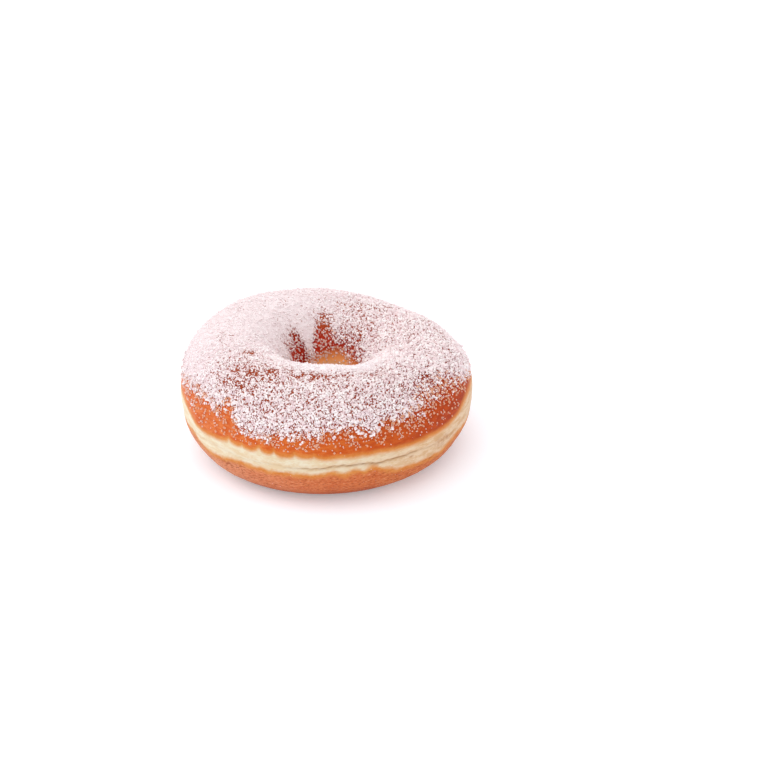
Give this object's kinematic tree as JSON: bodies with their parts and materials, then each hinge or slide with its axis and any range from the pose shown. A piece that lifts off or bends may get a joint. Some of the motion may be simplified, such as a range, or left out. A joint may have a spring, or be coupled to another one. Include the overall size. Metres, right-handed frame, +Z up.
{
  "type": "ring doughnut",
  "caption": "Whole fried ring of yeast dough with a round section, a pale band and creased seam round its waist, puckers in its hole and a coat of coarse sugar on top.",
  "frame": {"origin": "under the middle of the ring, in the plane it rests on", "axes": "+Z up through the hole; the side with the open seam faces -Y, and the highest part of the crest lies towards -X"},
  "size_m": [0.0912, 0.089, 0.0408],
  "materials": {
    "crust": "satin fried dough crust, orange brown above, pale cream round the waist, rough and browner below",
    "sugar": "white granulated sugar, in single grains over fine sugar dust"
  },
  "bodies": {
    "root": {"ring_doughnut": "crust"}
  },
  "joints": []
}
